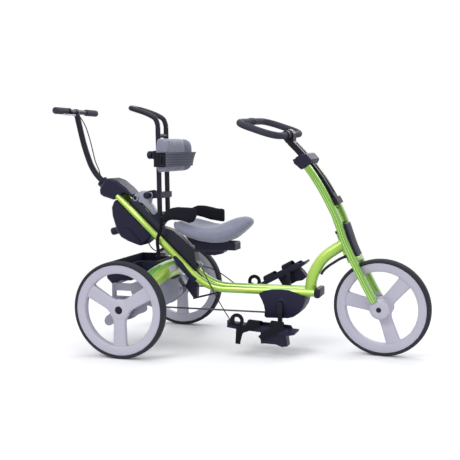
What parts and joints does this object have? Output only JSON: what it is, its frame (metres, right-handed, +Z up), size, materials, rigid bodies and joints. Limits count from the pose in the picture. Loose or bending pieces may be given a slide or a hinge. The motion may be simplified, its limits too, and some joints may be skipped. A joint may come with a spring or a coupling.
{
  "type": "tricycle",
  "caption": "Adaptive pedal tricycle with padded back and hip supports, strap footplates, looped handlebar, rear bin and steerable push handle.",
  "frame": {"origin": "middle of the bounding box at ground level", "axes": "+X forward, +Y to the rider's left, +Z up"},
  "size_m": [1.6127, 0.74, 1.0564],
  "materials": {
    "lime_enamel": "glossy powder coat",
    "black_plastic": "satin",
    "dark_anodised": "anodised",
    "grey_casting": "as cast, painted grey",
    "grey_moulding": "satin",
    "tyre_rubber": "matt",
    "grey_pad": "padded cloth",
    "black_webbing": "woven",
    "steel": "satin",
    "black_cord": "matt"
  },
  "bodies": {
    "frame": {"main_frame": "lime_enamel", "frame_end_cap": "black_plastic", "head_cup_lower": "black_plastic", "head_cup_upper": "black_plastic", "track_rail": "dark_anodised", "dome_cover": "black_plastic", "mechanism_housing": "black_plastic", "rear_axle_beam": "lime_enamel", "beam_clamp": "black_plastic", "hub_carrier_right": "grey_casting", "hub_carrier_left": "grey_casting", "axle_housing": "grey_casting", "chain": "steel", "chain_case": "black_plastic", "storage_bin": "black_plastic", "linkage_cable": "black_cord", "front_cable": "black_cord", "levelling_cord_right": "black_cord", "levelling_cord_left": "black_cord", "backrest_bracket": "grey_casting", "backrest_base": "black_plastic"},
    "steering_fork": {"fork": "lime_enamel", "fork_cover": "black_plastic", "fork_dropouts": "grey_casting", "stem_clamp": "black_plastic"},
    "front_wheel": {"front_rim": "grey_moulding", "front_tyre": "tyre_rubber"},
    "sliding_stem": {"stem": "black_plastic"},
    "handlebar_loop": {"handlebar": "black_plastic"},
    "stem_cam": {"cam_lever": "black_plastic"},
    "driven_axle": {"rear_axle": "steel", "rear_rim_right": "grey_moulding", "rear_tyre_right": "tyre_rubber"},
    "free_wheel": {"rear_rim_left": "grey_moulding", "rear_tyre_left": "tyre_rubber"},
    "crank": {"crankset": "black_plastic"},
    "pedal_right": {"footplate_right": "black_plastic", "foot_straps_right": "black_webbing"},
    "pedal_left": {"footplate_left": "black_plastic", "foot_straps_left": "black_webbing"},
    "push_handle": {"push_tube": "black_plastic", "push_grip_right": "black_plastic", "push_grip_left": "black_plastic", "brake_cable": "black_cord"},
    "hand_brake": {"brake_lever": "steel"},
    "linkage_knob": {"side_knob": "black_plastic"},
    "backrest": {"backrest_uprights": "black_plastic", "upright_clamp": "black_plastic"},
    "angle_lock": {"angle_knob": "black_plastic"},
    "back_support": {"back_pad": "grey_pad", "chest_strap": "black_webbing", "pad_bracket": "black_plastic"},
    "pad_lock": {"pad_knob": "black_plastic"},
    "seat_base": {"seat_carriage": "dark_anodised"},
    "seat": {"seat_box": "black_plastic", "seat_cushion": "grey_pad", "hip_pad_right": "black_webbing", "hip_pad_left": "black_webbing", "hip_strap": "black_webbing"},
    "seat_catch": {"seat_lever": "black_plastic"}
  },
  "joints": [
    {"name": "steer", "type": "hinge", "parent": "frame", "child": "steering_fork", "pos_m": [0.4455, 0, 0.464], "axis": [-0.342, 0, 0.9397], "range_deg": [-28, 42]},
    {"name": "front_wheel_spin", "type": "hinge", "parent": "steering_fork", "child": "front_wheel", "pos_m": [0.60308, -0.00722, 0.20285], "axis": [0.1145, 0.9925, 0.0417], "continuous": true},
    {"name": "stem_height", "type": "hinge", "parent": "steering_fork", "child": "sliding_stem", "pos_m": [-0.42162, 0.11154, 0.19035], "axis": [-0.1145, -0.9925, -0.0417], "range_deg": [0, 6]},
    {"name": "handlebar_tilt", "type": "hinge", "parent": "sliding_stem", "child": "handlebar_loop", "pos_m": [0.20997, 0.00823, 0.91517], "axis": [0.1145, 0.9925, 0.0417], "range_deg": [-15, 15]},
    {"name": "cam_lever_turn", "type": "hinge", "parent": "steering_fork", "child": "stem_cam", "pos_m": [0.23855, 0.00957, 0.8047], "axis": [0.1145, 0.9925, 0.0417], "range_deg": [0, 55]},
    {"name": "rear_axle_spin", "type": "hinge", "parent": "frame", "child": "driven_axle", "pos_m": [-0.4225, 0, 0.203], "axis": [0, 1, 0], "continuous": true},
    {"name": "left_wheel_spin", "type": "hinge", "parent": "frame", "child": "free_wheel", "pos_m": [-0.4225, 0.347, 0.203], "axis": [0, 1, 0], "continuous": true},
    {"name": "crank_spin", "type": "hinge", "parent": "frame", "child": "crank", "pos_m": [0.1875, 0, 0.207], "axis": [0, 1, 0], "continuous": true, "deforming": ["levelling_cord_right", "levelling_cord_left"]},
    {"name": "right_pedal_spin", "type": "hinge", "parent": "crank", "child": "pedal_right", "pos_m": [0.1875, -0.13, 0.099], "axis": [0, 1, 0], "continuous": true},
    {"name": "left_pedal_spin", "type": "hinge", "parent": "crank", "child": "pedal_left", "pos_m": [0.1875, 0.13, 0.315], "axis": [0, 1, 0], "continuous": true},
    {"name": "push_handle_turn", "type": "hinge", "parent": "frame", "child": "push_handle", "pos_m": [-0.64509, 0, 0.69703], "axis": [0.7242, 0, -0.6896], "range_deg": [-30, 30]},
    {"name": "brake_lever_pull", "type": "hinge", "parent": "push_handle", "child": "hand_brake", "pos_m": [-0.7695, -0.07, 1.018], "axis": [0, 0, -1], "range_deg": [0, 10], "stiffness_Nm_per_rad": 0.6},
    {"name": "linkage_knob_turn", "type": "hinge", "parent": "frame", "child": "linkage_knob", "pos_m": [-0.58113, 0, 0.49945], "axis": [-0.9696, 0, -0.2449], "range_deg": [-90, 90]},
    {"name": "backrest_angle", "type": "hinge", "parent": "frame", "child": "backrest", "pos_m": [-0.3695, 0, 0.565], "axis": [0, 1, 0], "range_deg": [-6, 6]},
    {"name": "angle_knob_turn", "type": "hinge", "parent": "frame", "child": "angle_lock", "pos_m": [-0.4325, 0, 0.658], "axis": [0, 1, 0], "range_deg": [-90, 90]},
    {"name": "back_pad_height", "type": "slide", "parent": "backrest", "child": "back_support", "axis": [-0.0052, 0, 1], "range_m": [-0.04, 0.04]},
    {"name": "pad_knob_turn", "type": "hinge", "parent": "back_support", "child": "pad_lock", "pos_m": [-0.4135, 0, 0.836], "axis": [-1, 0, 0], "range_deg": [-90, 90]},
    {"name": "seat_slide", "type": "slide", "parent": "frame", "child": "seat_base", "axis": [0.7242, 0, -0.6896], "range_m": [0, 0.02]},
    {"name": "seat_depth", "type": "slide", "parent": "seat_base", "child": "seat", "axis": [1, 0, 0], "range_m": [0, 0.03]},
    {"name": "seat_lever_pull", "type": "hinge", "parent": "seat_base", "child": "seat_catch", "pos_m": [-0.1655, 0, 0.405], "axis": [0, 1, 0], "range_deg": [0, 12]}
  ],
  "couplings": [
    {"joint": "crank_spin", "follows": "rear_axle_spin", "ratio": 0.97917},
    {"joint": "right_pedal_spin", "follows": "rear_axle_spin", "ratio": -0.97917},
    {"joint": "left_pedal_spin", "follows": "rear_axle_spin", "ratio": -0.97917}
  ]
}
